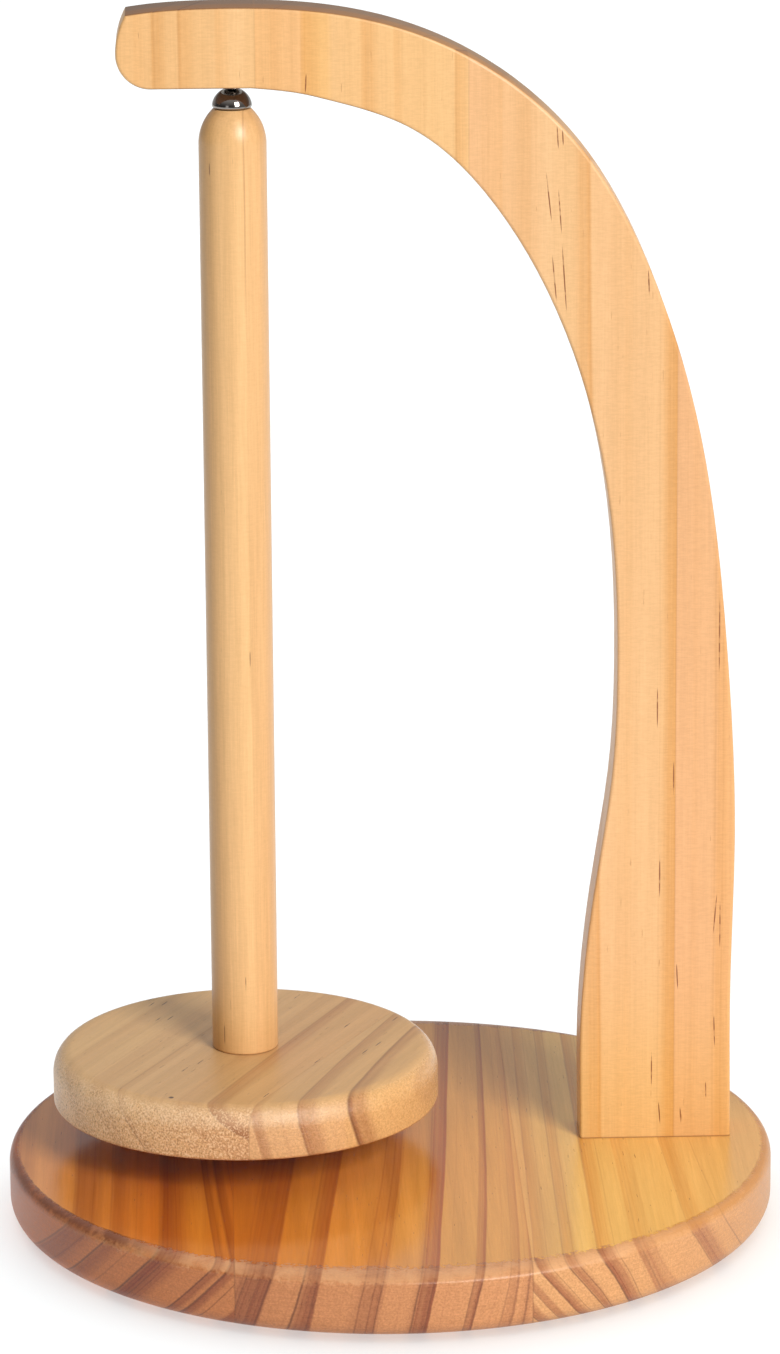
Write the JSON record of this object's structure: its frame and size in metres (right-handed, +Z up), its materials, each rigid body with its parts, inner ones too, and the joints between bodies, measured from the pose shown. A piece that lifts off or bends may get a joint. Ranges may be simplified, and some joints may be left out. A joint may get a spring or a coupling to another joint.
{
  "type": "yarn holder",
  "caption": "Freestanding wooden yarn holder: an arched arm on a round base carries a hanging spindle, a post on a round plate, held by a magnet and free to turn.",
  "frame": {"origin": "centre of the round base on the surface that the pads stand on", "axes": "+Z up, +X from the hanging spindle towards the arm's foot, -Y the front that the picture shows"},
  "size_m": [0.2, 0.2, 0.3179],
  "materials": {
    "base_wood": "gloss varnish on pine, amber",
    "arm_wood": "satin varnish on pale pine",
    "post_wood": "satin varnish on pale pine",
    "plate_wood": "satin varnish on pine",
    "stud_steel": "polished steel",
    "magnet_plating": "bright nickel plating",
    "screw_steel": "zinc-plated steel",
    "pad_rubber": "matt rubber"
  },
  "bodies": {
    "stand": {"foot_pads": "pad_rubber", "base_board_left": "base_wood", "base_board_middle": "base_wood", "base_board_right": "base_wood", "arm_board_tip": "arm_wood", "arm_board_crown": "arm_wood", "arm_board_column": "arm_wood", "arm_board_edge": "arm_wood", "magnet": "magnet_plating", "arm_screws": "screw_steel"},
    "stud": {"pivot_stud": "stud_steel"},
    "spindle": {"post": "post_wood", "plate_board_wide": "plate_wood", "plate_board_narrow": "plate_wood", "plate_screw": "screw_steel"}
  },
  "joints": [
    {"name": "take_off", "type": "slide", "parent": "stand", "child": "stud", "axis": [0, -1, 0], "range_m": [0, 0.16]},
    {"name": "spindle_spin", "type": "hinge", "parent": "stud", "child": "spindle", "pos_m": [-0.0377, 0.0046, 0.2916], "axis": [0, 0, 1], "continuous": true}
  ]
}
